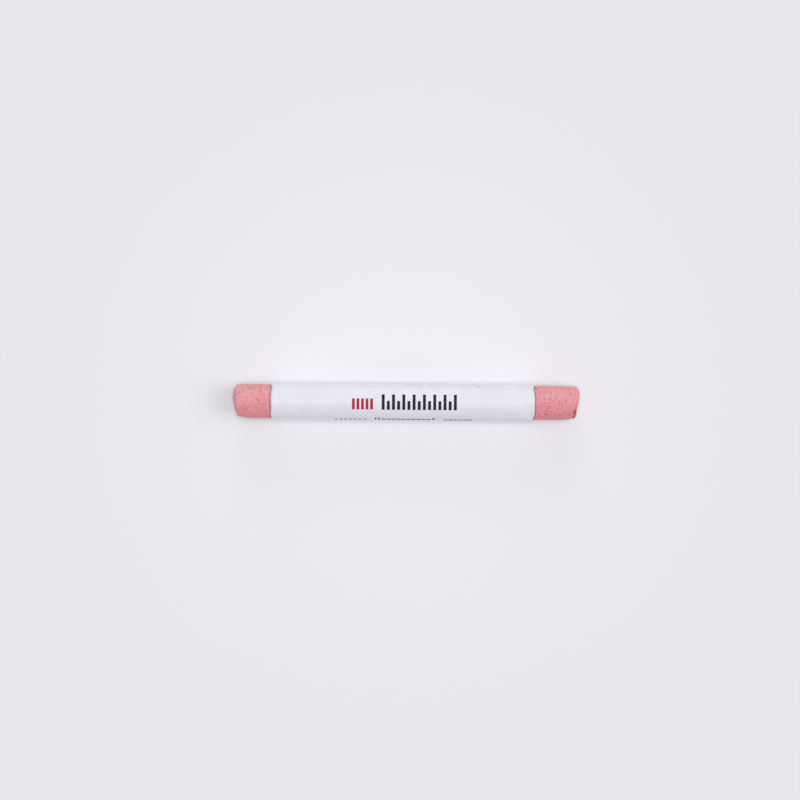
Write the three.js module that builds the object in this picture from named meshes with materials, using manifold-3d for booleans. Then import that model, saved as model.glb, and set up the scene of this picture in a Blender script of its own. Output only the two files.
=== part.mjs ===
import * as THREE from "three";
import { mergeVertices } from "three/addons/utils/BufferGeometryUtils.js";
import Module from "manifold-3d";

// A crayon of pressed ceramic chalk in a loose rolled paper sleeve, lying on a table.
// Sizes are millimetres and angles are degrees. +X runs along the stick, +Y is its back,
// +Z is up and z = 0 is the table. The origin is on the table, under the middle of the stick.

// Chalk stick
const stickLength = 100;
const stickDiameter = 9.8;

// Worn rim of each end: how far it reaches along the stick, and in towards the axis
const leftRimDepth = 2.1;
const leftRimInset = 2.9;
const rightRimDepth = 1.9;
const rightRimInset = 2.2;

// Slanted face of each end: how far behind the axis it begins, and its lean from square
const leftSlantOffset = 1.0;
const leftSlantAngle = 14.2;
const rightSlantOffset = 2.4;
const rightSlantAngle = 9.9;

// Flat worn on the front side near each end: how far from the tip it begins, and its lean
const leftWornLength = 5.2;
const leftWornAngle = 7.6;
const rightWornLength = 5.0;
const rightWornAngle = 6.9;

// Paper sleeve: one strip rolled round the stick, its free edge lapped over the first layer
const sleeveLength = 76.2;
const leftReveal = 10.9;
const paperThickness = 0.1;
const lapWidth = 5.5;
const lapClimb = 3.7;
const lapLead = 0.5;
const freeEdgeAngle = 55;

// The roll is a little looser at the right. The stick lies at the bottom and back of it.
const leftPlay = 0.18;
const rightPlay = 0.28;
const backGap = 0.1;
const bottomGap = 0.08;

// Width of the strip of sleeve that is pressed flat against the table
const restWidth = 2.6;

// Line of glue inside the lap
const glueThickness = 0.05;
const glueWidth = 4;
const glueEndMargin = 1.1;
const glueGap = 0.02;

// Fineness of the faceted surfaces
const stickSides = 96;
const rimSteps = 8;
const arcStep = 4;
const sleeveSteps = 4;

// Corners closer together than this are one corner
const mergeTolerance = 1e-5;

// Sizes that follow from the ones above
const stickRadius = stickDiameter / 2;
const stickAxisHeight = paperThickness + bottomGap + stickRadius;
const sleeveStart = -stickLength / 2 + leftReveal;
const layerStep = paperThickness + glueThickness + 2 * glueGap;
const fullTurn = 360;

const toRadians = THREE.MathUtils.degToRad;
const toDegrees = THREE.MathUtils.radToDeg;
const mix = THREE.MathUtils.lerp;

const wasm = await Module();
wasm.setup();

// Solids for cutting

function toSolid(geometry) {
  const bare = geometry.clone();
  bare.deleteAttribute("normal");
  bare.deleteAttribute("uv");
  const merged = mergeVertices(bare, mergeTolerance);
  const corners = merged.index.array;
  const triVerts = [];
  for (let i = 0; i < corners.length; i += 3) {
    const [a, b, c] = corners.slice(i, i + 3);
    // A triangle at a pole has two corners in one place, and is left out
    if (a !== b && b !== c && c !== a) {
      triVerts.push(a, b, c);
    }
  }
  const mesh = new wasm.Mesh({
    numProp: 3,
    vertProperties: new Float32Array(merged.attributes.position.array),
    triVerts: new Uint32Array(triVerts),
  });
  return new wasm.Manifold(mesh);
}

function toGeometry(solid) {
  const mesh = solid.getMesh();
  const geometry = new THREE.BufferGeometry();
  geometry.setAttribute("position", new THREE.BufferAttribute(mesh.vertProperties, 3));
  geometry.setIndex(new THREE.BufferAttribute(mesh.triVerts, 1));
  geometry.computeVertexNormals();
  return geometry;
}

// A block whose near face lies on a plane through (x, y), square to the table. It lies on the
// side that the given angle from +X points to, and is large enough to reach past the stick.
function blockBeyond(x, y, angle) {
  const size = 4 * stickDiameter;
  const block = new THREE.BoxGeometry(size, size, size);
  block.translate(size / 2, 0, 0);
  block.rotateZ(toRadians(angle));
  block.translate(x, y, 0);
  return toSolid(block);
}

// Chalk stick

// A quarter of an ellipse from the flat end out to the side, as (radius, distance from tip)
function rimPoints(depth, inset) {
  const points = [];
  for (let i = 0; i <= rimSteps; i += 1) {
    const turn = (i / rimSteps) * (Math.PI / 2);
    const radius = stickRadius - inset + inset * Math.sin(turn);
    points.push(new THREE.Vector2(radius, depth * (1 - Math.cos(turn))));
  }
  return points;
}

function turnedStick() {
  const tip = stickLength / 2;
  const left = rimPoints(leftRimDepth, leftRimInset);
  const right = rimPoints(rightRimDepth, rightRimInset).reverse();
  const profile = [
    new THREE.Vector2(0, -tip),
    ...left.map((point) => new THREE.Vector2(point.x, point.y - tip)),
    ...right.map((point) => new THREE.Vector2(point.x, tip - point.y)),
    new THREE.Vector2(0, tip),
  ];
  const geometry = new THREE.LatheGeometry(profile, stickSides);
  // The lathe turns about Y, and the stick lies along X
  geometry.rotateZ(-Math.PI / 2);
  return geometry;
}

function makeStick() {
  const tip = stickLength / 2;
  const leftSlant = blockBeyond(-tip, leftSlantOffset, 180 + leftSlantAngle);
  const rightSlant = blockBeyond(tip, rightSlantOffset, -rightSlantAngle);
  const leftWorn = blockBeyond(-tip + leftWornLength, -stickRadius, -90 - leftWornAngle);
  const rightWorn = blockBeyond(tip - rightWornLength, -stickRadius, -90 + rightWornAngle);
  const stick = toSolid(turnedStick())
    .subtract(leftSlant)
    .subtract(rightSlant)
    .subtract(leftWorn)
    .subtract(rightWorn);
  return toGeometry(stick);
}

// Rolled paper

// Angles in a cross-section count upwards from the front, so 90 is the top and -90 the
// bottom. The paper starts at its inner edge, runs down, round the back and over the top,
// climbs on to itself and ends at its free edge, so its angles fall all the way.

// The roll at one place along the sleeve: its size, its centre and where its edges are
function rollAt(x) {
  const along = (x - sleeveStart) / sleeveLength;
  const play = mix(leftPlay, rightPlay, along);
  const innerRadius = stickRadius + play;
  const outerRadius = innerRadius + paperThickness;
  const restHalfAngle = toDegrees(Math.asin(restWidth / 2 / outerRadius));
  return {
    x,
    innerRadius,
    restHalfAngle,
    centreY: backGap - play,
    centreZ: outerRadius * Math.cos(toRadians(restHalfAngle)),
    ...lapAt(play),
  };
}

// The strip is cut straight, so its lap is narrower where the roll is looser
function lapAt(play) {
  const middlePlay = (leftPlay + rightPlay) / 2;
  const spare = toRadians(fullTurn) * (middlePlay - play);
  const outerMiddle = stickRadius + play + layerStep + paperThickness / 2;
  const lapAngle = toDegrees((lapWidth + spare) / outerMiddle);
  const innerEdge = lapAngle - freeEdgeAngle;
  const climbEnd = innerEdge + toDegrees(lapLead / outerMiddle);
  const climbStart = climbEnd + toDegrees(lapClimb / outerMiddle);
  return { lapAngle, innerEdge, climbEnd, climbStart };
}

// How far the sheet has climbed from the first layer to the second, from 0 to 1
function climbedAt(angle, roll) {
  return 1 - THREE.MathUtils.smoothstep(angle + fullTurn, roll.climbEnd, roll.climbStart);
}

function pointOn(roll, angle, height) {
  const radius = roll.innerRadius + height;
  const y = roll.centreY - radius * Math.cos(toRadians(angle));
  const z = roll.centreZ + radius * Math.sin(toRadians(angle));
  return [roll.x, y, z];
}

// The angles of a stretch of arc after its first one, in equal steps
function stepsBetween(from, to, count) {
  const angles = [];
  for (let i = 1; i <= count; i += 1) {
    angles.push(mix(from, to, i / count));
  }
  return angles;
}

// Where the sheet changes its course: at its inner edge, at both sides of the strip that
// rests on the table, at both ends of its climb, and at its free edge
function bendsOf(roll) {
  return [
    roll.innerEdge,
    -90 + roll.restHalfAngle,
    -90 - roll.restHalfAngle,
    roll.climbStart - fullTurn,
    roll.climbEnd - fullTurn,
    -freeEdgeAngle - fullTurn,
  ];
}

// How many steps each stretch between two bends takes, the same in every section. The
// stretch that rests on the table is flat, so it is one step.
function stretchCounts() {
  const bends = bendsOf(rollAt(sleeveStart + sleeveLength / 2));
  const counts = bends.slice(1).map((bend, i) => Math.ceil((bends[i] - bend) / arcStep));
  counts[1] = 1;
  return counts;
}

function sheetAngles(roll, counts) {
  const bends = bendsOf(roll);
  const angles = [bends[0]];
  counts.forEach((count, i) => {
    angles.push(...stepsBetween(bends[i], bends[i + 1], count));
  });
  return angles;
}

// A sheet through matching sections. Each section lists the points of its outer face and of
// its inner face, in the order in which the paper runs.
function closedSheet(sections) {
  const count = sections[0].outer.length;
  const ring = 2 * count;
  const positions = [];
  for (const section of sections) {
    positions.push(...section.outer.flat(), ...[...section.inner].reverse().flat());
  }
  const corners = [];
  for (let s = 0; s + 1 < sections.length; s += 1) {
    for (let i = 0; i < ring; i += 1) {
      const a = s * ring + i;
      const b = s * ring + ((i + 1) % ring);
      corners.push(a, b, b + ring, a, b + ring, a + ring);
    }
  }
  const last = (sections.length - 1) * ring;
  for (let i = 0; i + 1 < count; i += 1) {
    const outer = i;
    const inner = ring - 1 - i;
    corners.push(outer, inner - 1, outer + 1, outer, inner, inner - 1);
    corners.push(last + outer, last + outer + 1, last + inner - 1);
    corners.push(last + outer, last + inner - 1, last + inner);
  }
  const geometry = new THREE.BufferGeometry();
  geometry.setAttribute("position", new THREE.Float32BufferAttribute(positions, 3));
  geometry.setIndex(corners);
  geometry.computeVertexNormals();
  return geometry;
}

function makeSleeve() {
  const counts = stretchCounts();
  const sections = [];
  for (let s = 0; s <= sleeveSteps; s += 1) {
    const roll = rollAt(sleeveStart + (s / sleeveSteps) * sleeveLength);
    const angles = sheetAngles(roll, counts);
    const faceAt = (thickness) =>
      angles.map((angle) => pointOn(roll, angle, layerStep * climbedAt(angle, roll) + thickness));
    sections.push({ outer: faceAt(paperThickness), inner: faceAt(0) });
  }
  return closedSheet(sections);
}

function makeGlue() {
  const start = sleeveStart + glueEndMargin;
  const end = sleeveStart + sleeveLength - glueEndMargin;
  const low = paperThickness + glueGap;
  const sections = [];
  for (let s = 0; s <= sleeveSteps; s += 1) {
    const roll = rollAt(mix(start, end, s / sleeveSteps));
    const halfAngle = toDegrees(glueWidth / 2 / (roll.innerRadius + low));
    const middle = roll.lapAngle / 2 - freeEdgeAngle;
    const count = Math.ceil(glueWidth / stickRadius / toRadians(arcStep));
    const top = middle + halfAngle;
    const angles = [top, ...stepsBetween(top, middle - halfAngle, count)];
    sections.push({
      outer: angles.map((angle) => pointOn(roll, angle, low + glueThickness)),
      inner: angles.map((angle) => pointOn(roll, angle, low)),
    });
  }
  return closedSheet(sections);
}

// Materials

const pressedChalk = new THREE.MeshStandardMaterial({
  color: 0xe19ba0,
  roughness: 0.95,
  metalness: 0,
});

const coatedLabelPaper = new THREE.MeshStandardMaterial({
  color: 0xe8e8f0,
  roughness: 0.55,
  metalness: 0,
});

const driedGlue = new THREE.MeshStandardMaterial({
  color: 0xe6e0cf,
  roughness: 0.3,
  metalness: 0,
});

// Assembly

const crayon = new THREE.Group();

const chalkStick = new THREE.Mesh(makeStick(), pressedChalk);
chalkStick.name = "chalk_stick";
chalkStick.position.z = stickAxisHeight;
crayon.add(chalkStick);

const sleeve = new THREE.Group();
crayon.add(sleeve);

const paperSleeve = new THREE.Mesh(makeSleeve(), coatedLabelPaper);
paperSleeve.name = "paper_sleeve";
sleeve.add(paperSleeve);

const seamGlue = new THREE.Mesh(makeGlue(), driedGlue);
seamGlue.name = "seam_glue";
sleeve.add(seamGlue);

export default crayon;
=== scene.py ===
# %% [markdown]
# # A ceramic chalk crayon in a paper sleeve
#
# The object is a stick of pressed ceramic chalk, 100 mm long, in a rolled paper sleeve that
# slides along it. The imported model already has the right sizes, places and motion, so this
# lesson only makes the surfaces that the eye sees: the gritty, speckled chalk with its worn
# ends, and the thin white paper with its lap and its printed marks.

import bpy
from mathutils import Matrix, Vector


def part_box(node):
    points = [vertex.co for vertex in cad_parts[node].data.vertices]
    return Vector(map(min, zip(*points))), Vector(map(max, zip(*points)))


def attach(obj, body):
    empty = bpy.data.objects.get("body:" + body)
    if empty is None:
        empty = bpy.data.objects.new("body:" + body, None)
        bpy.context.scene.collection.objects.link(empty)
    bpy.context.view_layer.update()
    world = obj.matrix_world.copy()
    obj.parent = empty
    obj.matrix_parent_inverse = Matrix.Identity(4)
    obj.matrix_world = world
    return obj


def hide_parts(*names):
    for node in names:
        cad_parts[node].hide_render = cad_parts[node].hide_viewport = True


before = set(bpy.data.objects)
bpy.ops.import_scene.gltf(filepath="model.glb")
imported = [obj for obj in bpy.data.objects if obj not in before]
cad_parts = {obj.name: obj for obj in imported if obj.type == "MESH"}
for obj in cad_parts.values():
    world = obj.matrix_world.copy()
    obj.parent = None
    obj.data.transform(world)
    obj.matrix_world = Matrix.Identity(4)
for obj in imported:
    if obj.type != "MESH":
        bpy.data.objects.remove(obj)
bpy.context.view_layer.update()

# %% Libraries and units
import math

import bpy
import numpy as np

MM = 0.001
print("Blender counts in metres, so a millimetre is", MM)

# %% [markdown]
# ## Sizes
#
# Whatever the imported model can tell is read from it: the length and radius of the stick, the
# height of its axis above the table, and both ends of the sleeve. So each new piece lies where
# the solid lies that it stands for.

# %% Read the main sizes from the frame
stick_low, stick_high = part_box("chalk_stick")
sleeve_low, sleeve_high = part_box("paper_sleeve")
stick_half = (stick_high.x - stick_low.x) / 2
stick_radius = (stick_high.z - stick_low.z) / 2
stick_axis_height = (stick_high.z + stick_low.z) / 2
sleeve_length = sleeve_high.x - sleeve_low.x
print(f"stick {2 * stick_half / MM:.1f} x {2 * stick_radius / MM:.1f} mm, "
      f"sleeve {sleeve_length / MM:.1f} mm, axis {stick_axis_height / MM:.2f} mm up")

# %% [markdown]
# ## Small helpers for nodes
#
# Every material and every pattern below is a tree of nodes. One function adds a node with its
# settings and links, so that a tree reads from top to bottom: what a node is given is a plain
# value or the output of an earlier node. Colours are written as the hex values that a screen
# shows, and a second function turns them into the linear values that Blender calculates with.
# A third gives the scale of a texture from the size of its features in millimetres.

# %% Add a node, turn a colour to linear and a size to a scale
def add_node(tree, kind, *values, output=None, **named):
    """Adds a node and gives its first output, or the one that is named.

    Values fill the node's inputs from the top. A name in small letters is a setting, and one
    with a capital is an input: From_Min is the input From Min.
    """
    node = tree.nodes.new(kind)
    for name, value in named.items():
        if name[0].islower():
            setattr(node, name, value)
    inputs = [socket for socket in node.inputs if socket.enabled]
    given = list(zip(inputs, values))
    for name, value in named.items():
        if name[0].isupper():
            given.append((next(s for s in inputs if s.name == name.replace("_", " ")), value))
    for socket, value in given:
        if isinstance(value, bpy.types.NodeSocket):
            tree.links.new(value, socket)
        else:
            socket.default_value = value
    outputs = [s for s in node.outputs if s.enabled and output in (None, s.name)]
    return outputs[0] if outputs else node


def linear(hex_colour):
    """The linear red, green, blue and alpha of an sRGB colour such as 'e6a1a7'."""
    parts = [int(hex_colour[i:i + 2], 16) / 255 for i in (0, 2, 4)]
    low = [part / 12.92 for part in parts]
    high = [((part + 0.055) / 1.055) ** 2.4 for part in parts]
    return (*[l if p <= 0.04045 else h for p, l, h in zip(parts, low, high)], 1.0)


def per_mm(size_mm):
    """The scale of a texture whose features are this many millimetres apart."""
    return 1 / (size_mm * MM)


print("e6a1a7 is", [round(part, 3) for part in linear("e6a1a7")[:3]], "in linear light")

# %% [markdown]
# Three kinds of node come again and again, so each has a function of its own: one calculates,
# one goes softly from one number to another, and one mixes two colours.

# %% Calculate, step softly and mix
def calculate(tree, operation, *numbers):
    """The result of an operation, such as MULTIPLY, on its numbers."""
    return add_node(tree, "ShaderNodeMath", *numbers, operation=operation)


def soft_step(tree, value, low, high, start=0.0, end=1.0):
    """Goes in an even S from start to end while the value goes from low to high."""
    return add_node(tree, "ShaderNodeMapRange", value, low, high, start, end,
                    interpolation_type="SMOOTHSTEP")


def mix(tree, share, first, second):
    """Two colours, mixed. Each is a hex value or the output of an earlier node."""
    pair = [linear(colour) if isinstance(colour, str) else colour for colour in (first, second)]
    return add_node(tree, "ShaderNodeMix", share, *pair, data_type="RGBA")


print("helpers:", *(helper.__name__ for helper in (add_node, calculate, soft_step, mix)))

# %% [markdown]
# ## How each material begins and ends
#
# Every material here starts from the object's own coordinates, so that its pattern has real
# millimetres and stays with the piece when it moves. It ends in one shader, with a relief
# that catches the light. What most of them share is blotches: a noise whose values are spread,
# so that it goes softly from nothing to full. They stand for grit, clouds, smudges and thin ink.

# %% Begin and end a material
# A sheen that spreads less lies closer to the edges, where the surface is seen flat
SHEEN_SPREAD = 0.3


def new_material(name):
    """A material with an empty tree, and the output with the object's own coordinates."""
    material = bpy.data.materials.new(name)
    material.use_nodes = True
    material.node_tree.nodes.clear()
    place = add_node(material.node_tree, "ShaderNodeTexCoord", output="Object")
    return material, material.node_tree, place


def blotches(tree, place, size_mm, span=(0.3, 0.7), detail=2.0, roughness=0.5, most=1.0):
    """Blotches of a size in millimetres. They rise from 0 to most between two noise values."""
    noise = add_node(tree, "ShaderNodeTexNoise", place,
                     Scale=per_mm(size_mm), Detail=detail, Roughness=roughness)
    return soft_step(tree, noise, *span, end=most)


def end_material(tree, body, roughness, ior, height, depth_mm, sheen=0.0):
    """The shader of a material. A height from 0 to 1 becomes a relief this deep."""
    relief = add_node(tree, "ShaderNodeBump", Distance=depth_mm * MM, Height=height)
    shader = add_node(tree, "ShaderNodeBsdfPrincipled", Base_Color=body, Roughness=roughness,
                      IOR=ior, Normal=relief, Sheen_Weight=sheen, Sheen_Roughness=SHEEN_SPREAD)
    add_node(tree, "ShaderNodeOutputMaterial", shader)


print("the sheen spreads by", SHEEN_SPREAD)

# %% [markdown]
# ## The chalk and its grains
#
# A material starts from what the real one is. Pressed ceramic chalk is clay and pigment
# without a glaze: dull, a little patchy where the pigment is uneven, and peppered with dark
# red grains of grog, which is crushed fired clay with iron in it. Noises the size of the
# patches and of the grit mix its colours, and small dots stand for the grains that are too
# fine to model. A photo of chalk on a cylinder would be quicker, but it would stretch at the
# ends and blur close up.

# %% Dots on the chalk, and its dirt and painted shade
# The real grit is finer than 0.1 mm, which wouldn't show, so it is drawn about three times as
# coarse, at one pixel of the render
GRIT_MM = 0.28
DOT_SPACING_MM = 0.7
# Where a dot ends and where it is full, counted from its middle in spacings
DOT_REACH = (0.28, 0.10)
# Random numbers below which a dot is left out, and above which it has its full strength
DOT_LUCK = (0.45, 0.95)


def edge_dirt_and_shade(tree, none_mm, full_mm):
    """From 0 to 1 between two places, which count from the paper's edge outwards."""
    beyond = add_node(tree, "ShaderNodeAttribute", attribute_name="beyond_paper", output="Fac")
    return soft_step(tree, beyond, none_mm * MM, full_mm * MM)


def fine_dots(tree, place):
    """Fine grains: each cell of the pattern has a dot, and most of the dots are left out."""
    cells = add_node(tree, "ShaderNodeTexVoronoi", place, Scale=per_mm(DOT_SPACING_MM))
    dot = soft_step(tree, cells, *DOT_REACH)
    luck = add_node(tree, "ShaderNodeSeparateColor", cells.node.outputs["Color"])
    kept = soft_step(tree, luck, *DOT_LUCK)
    return calculate(tree, "MULTIPLY", dot, kept)


print(f"a fine dot in every {DOT_SPACING_MM} mm at most")

# %% The chalk's uneven colour
# Light and dark patches about a millimetre across, and wider ones that lean to red or to grey
PATCH_MM = 1.1
TINT_MM = 1.5
PATCH_SPAN = (0.36, 0.64)
TINT_SHARE = 0.25
# Places across the stick between which it goes from a painted sheen on its back to painted shade at
# its front
PALE_TO_DEEP = (2.5 * MM, -3.5 * MM)
# Places along it between which it goes from faded to fresh, and how much redder fresh chalk is
FADED_TO_FRESH = (-45 * MM, -41.5 * MM)
FRESH_SHARE = 0.2


def uneven_colour(tree, place):
    """The chalk's colour with a painted sheen and shade, before its grit and grains."""
    patches = blotches(tree, place, PATCH_MM, PATCH_SPAN, detail=3.0)
    axes = add_node(tree, "ShaderNodeSeparateXYZ", place).node.outputs
    # Paler on its back as a painted sheen, and deeper towards its front as painted shade
    painted_sheen_back = mix(tree, patches, "ecb0b4", "e6a1a7")
    deeper = mix(tree, patches, "e99fa5", "e18f97")
    front = soft_step(tree, axes["Y"], *PALE_TO_DEEP)
    body = mix(tree, front, painted_sheen_back, deeper)
    tint = blotches(tree, place, TINT_MM, PATCH_SPAN)
    tint = mix(tree, tint, "e0b2b6", "f69ca4")
    body = mix(tree, TINT_SHARE, body, tint)
    # The left tip is held most, and has faded. The rest has kept more of its red
    fresh = soft_step(tree, axes["X"], *FADED_TO_FRESH, end=FRESH_SHARE)
    return mix(tree, fresh, body, "f2939b")


print(f"patches of {PATCH_MM} mm, and tints of {TINT_MM} mm")

# %% Pressed ceramic chalk
# How much of the darker clay shows between the grains of grit
GRIT_SHARE = 0.4


def pressed_chalk():
    # Unglazed pressed clay is dull all over, and its grit makes it look like fine sandpaper
    material, tree, place = new_material("pressed ceramic chalk")
    grit = blotches(tree, place, GRIT_MM)
    body = uneven_colour(tree, place)
    darker = mix(tree, GRIT_SHARE, body, "c86a78")
    body = mix(tree, grit, darker, body)
    dots = fine_dots(tree, place)
    # The clay close to a modelled grain is stained by it, and the crack at the right end is painted
    # dark inside, as painted shade. A thin dark line along the paper's edge is grime and a painted
    # shadow of the paper's edge
    stain = add_node(tree, "ShaderNodeAttribute", attribute_name="grain_stain", output="Fac")
    crack = add_node(tree, "ShaderNodeAttribute", attribute_name="crack", output="Fac")
    dirt_and_shade = calculate(tree, "MULTIPLY", edge_dirt_and_shade(tree, -0.15, 0.0), edge_dirt_and_shade(tree, 0.6, 0.2))
    for share, strength, colour in (
        (dots, 0.55, "c25a68"),
        (stain, 0.4, "c4606c"),
        # Painted shade inside the crack
        (crack, 0.85, "92384b"),
        # Dirt and a painted shadow of the paper's edge, in a thin dark line
        (dirt_and_shade, 0.45, "84476a"),
    ):
        share = calculate(tree, "MULTIPLY", share, strength)
        body = mix(tree, share, body, colour)
    pores = calculate(tree, "SUBTRACT", grit, dots)
    end_material(tree, body, roughness=0.95, ior=1.5, height=pores, depth_mm=0.03)
    return material


chalk = pressed_chalk()
print(chalk.name, "has", len(chalk.node_tree.nodes), "nodes")

# %% [markdown]
# The grog is mixed into the clay so that the stick dries without cracking. Its larger grains
# become small stones further on, with a shadow and a pit of their own, so they also get a
# material of their own. As dots in the chalk's colour they would look printed.


# %% Grog grains
def grog_grain():
    # Crushed fired clay with iron in it: dark red, a little harder and smoother than the chalk
    material, tree, place = new_material("iron-bearing grog grain")
    shade = blotches(tree, place, GRIT_MM)
    body = mix(tree, shade, "a43a4a", "be5562")
    end_material(tree, body, roughness=0.8, ior=1.5, height=shade, depth_mm=0.02)
    return material


grain = grog_grain()
print(grain.name, "is made")

# %% [markdown]
# ## The paper
#
# The sleeve is coated label paper, a smooth white clay coat over wood fibres. It is cool white
# with a faint cloudiness. Its whiteness is what makes the chalk look so warm, so it isn't
# simply white: it leans a little to blue. Seen flat along its surface it has a strong sheen,
# which makes the two sides of the roll almost as light as the floor. Chalk dust from the
# fingers clings to it near its ends: blotches of pink that fade out towards the middle.

# %% Coated label paper
# A real fibre is 0.02 to 0.04 mm wide, which is too fine to show, so the fibres are drawn as
# coarse as this
FIBRE_MM = 0.22
CLOUD_MM = 5.0
SMUDGE_MM = 3.2
# How far chalk dust reaches in from each end, and how much of the paper it covers at most
LEFT_DUST = 18 * MM
RIGHT_DUST = 7 * MM
DUST_SHARE = 0.35
# How dark the cut edge is painted, at the left end and at the right: chalk it has taken up, and
# painted shade
RIM_CHALK_AND_SHADE = (0.1, 0.55)


def coated_paper():
    material, tree, place = new_material("coated label paper")
    clouds = blotches(tree, place, CLOUD_MM, (0.35, 0.65), detail=3.0)
    body = mix(tree, clouds, "e5e4ee", "e1e0eb")
    along = add_node(tree, "ShaderNodeSeparateXYZ", place, output="X")
    left = soft_step(tree, along, sleeve_low.x + LEFT_DUST, sleeve_low.x)
    right = soft_step(tree, along, sleeve_high.x - RIGHT_DUST, sleeve_high.x)
    near_ends = calculate(tree, "MAXIMUM", left, right)
    smudge = blotches(tree, place, SMUDGE_MM, (0.5, 0.75),
                      detail=4.0, roughness=0.6, most=DUST_SHARE)
    dust = calculate(tree, "MULTIPLY", smudge, near_ends)
    body = mix(tree, dust, body, "e3c9cf")
    # The raw cut edge is painted darker, most at the right end: chalk colour it has taken up, and
    # painted shade
    chalk_and_shade_share = add_node(tree, "ShaderNodeMapRange", along, sleeve_low.x, sleeve_high.x, *RIM_CHALK_AND_SHADE)
    rim = calculate(tree, "MULTIPLY", edge_dirt_and_shade(tree, -0.22, -0.05), chalk_and_shade_share)
    body = mix(tree, rim, body, "a05c7a")
    fibres = add_node(tree, "ShaderNodeTexNoise", place, Scale=per_mm(FIBRE_MM), Detail=3.0)
    dullness = add_node(tree, "ShaderNodeMapRange", fibres, To_Min=0.44, To_Max=0.58)
    end_material(tree, body, roughness=dullness, ior=1.5, height=fibres, depth_mm=0.006, sheen=0.9)
    return material


paper = coated_paper()
print(paper.name, "has", len(paper.node_tree.nodes), "nodes")

# %% [markdown]
# ## Ink and glue
#
# Printing ink lies on the paper's coat as a film of a few thousandths of a millimetre. It could
# be painted into the paper's material, but a film of its own keeps a sharp edge at any distance.
# The inks differ only in colour, so one function makes them all. The glue shows only as a clear,
# yellowish line between the layers of paper.

# %% Label inks and glue
BUBBLE_MM = 0.5


def label_ink(name, thick_hex, thin_hex):
    # Printing ink soaks in unevenly: it is a little lighter where the film is thin
    material, tree, place = new_material(name)
    cover = blotches(tree, place, FIBRE_MM, (0.35, 0.75), detail=3.0)
    body = mix(tree, cover, thick_hex, thin_hex)
    end_material(tree, body, roughness=0.6, ior=1.3, height=cover, depth_mm=0.003)
    return material


def dried_glue():
    # Dried paper glue: a clear, yellowish film with small bubbles
    material, tree, place = new_material("dried paper glue")
    bubbles = blotches(tree, place, BUBBLE_MM, (0.4, 0.65), detail=3.0)
    body = mix(tree, bubbles, "e8e2d0", "dcd3ba")
    end_material(tree, body, roughness=0.3, ior=1.48, height=bubbles, depth_mm=0.01)
    return material


black_ink = label_ink("black label ink", "0e0c14", "1a1722")
red_ink = label_ink("red label ink", "b00f33", "c02043")
grey_ink = label_ink("grey label ink", "7b7985", "93919c")
pale_ink = label_ink("pale grey label ink", "b4b3be", "c4c3cd")
orange_ink = label_ink("orange label ink", "e2b294", "e8c5ae")
glue = dried_glue()
print("five inks and the glue are made")

# %% [markdown]
# ## Geometry Nodes in three steps
#
# What repeats or follows a surface is made by Geometry Nodes: a tree with named inputs is put
# on an object as a modifier, the inputs are set through the identifiers of their sockets, and
# the evaluated result is copied into a plain mesh. After that the tree is no longer needed,
# and the piece is an ordinary mesh that can ride on a body of the frame.

# %% Helpers for trees of Geometry Nodes
def new_tree(name, sizes):
    """A tree with a geometry in and out and named inputs. Gives it, its inputs and their ids."""
    tree = bpy.data.node_groups.new(name, "GeometryNodeTree")
    tree.interface.new_socket("Geometry", in_out="INPUT", socket_type="NodeSocketGeometry")
    tree.interface.new_socket("Geometry", in_out="OUTPUT", socket_type="NodeSocketGeometry")
    ids = {}
    for size, kind in sizes.items():
        ids[size] = tree.interface.new_socket(size, in_out="INPUT", socket_type=kind).identifier
    return tree, add_node(tree, "NodeGroupInput").node.outputs, ids


def add_object(name, mesh):
    """Puts a mesh into the scene as an object at the origin."""
    piece = bpy.data.objects.new(name, mesh)
    bpy.context.scene.collection.objects.link(piece)
    return piece


def grow(name, mesh, tree, ids, values):
    """Runs a tree on a mesh and returns its result as a plain object."""
    source = add_object(name + "_source", mesh)
    modifier = source.modifiers.new("Pattern", "NODES")
    modifier.node_group = tree
    for size, value in values.items():
        modifier[ids[size]] = value
    shapes = bpy.context.evaluated_depsgraph_get()
    result = bpy.data.meshes.new_from_object(
        source.evaluated_get(shapes), preserve_all_data_layers=True, depsgraph=shapes)
    bpy.data.objects.remove(source)
    result.name = name
    return add_object(name, result)


def triangles(piece):
    """How many triangles the piece's mesh has."""
    return sum(len(face.vertices) - 2 for face in piece.data.polygons)


print("each tree makes its instances real, and sets its own materials")

# %% [markdown]
# ## The worn chalk stick
#
# The stick was pressed through a round die and broken to length, then both ends wore down in
# use. It could be a cylinder cut by planes, but a cut leaves long thin faces at its edges, and
# fine relief needs small even ones. So the outline is worked out ray by ray: in each
# half-plane through the axis it runs from the middle of the end face out to the rim and along
# the side, and is then divided into equal steps. Softening each outline a little rounds the
# edges as rubbing does.

# %% The shape of each end
# The rim is rounded by a depth and an inset, the end face slants, and the flat that is rubbed on
# the front has a length and an angle. Distances are in from the tip and out from the axis. The
# back of the stick is +Y.
left_end = {
    "rim_depth": 1.75 * MM,
    "rim_inset": 2.7 * MM,
    "slant_offset": 1.0 * MM,
    "slant": math.radians(14.2),
    "worn_length": 5.2 * MM,
    "worn": math.radians(7.6),
}
right_end = {
    "rim_depth": 1.35 * MM,
    "rim_inset": 1.8 * MM,
    "slant_offset": 2.4 * MM,
    "slant": math.radians(9.9),
    "worn_length": 5.0 * MM,
    "worn": math.radians(6.3),
}
# The sleeve bares a little less than this when it slides
bare_reach = 26 * MM
for name, end in (("left", left_end), ("right", right_end)):
    print(name, f"face slants by {math.degrees(end['slant']):.1f} degrees")


# %% The outline on one ray
def side_limit(end, across, inward):
    """How far out the side lies on a ray whose direction has this share of +Y."""
    if across >= 0:
        return np.full_like(inward, stick_radius)
    worn_away = np.clip(end["worn_length"] - inward, 0, None) * math.tan(end["worn"])
    return np.minimum(stick_radius, (stick_radius - worn_away) / -across)


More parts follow.
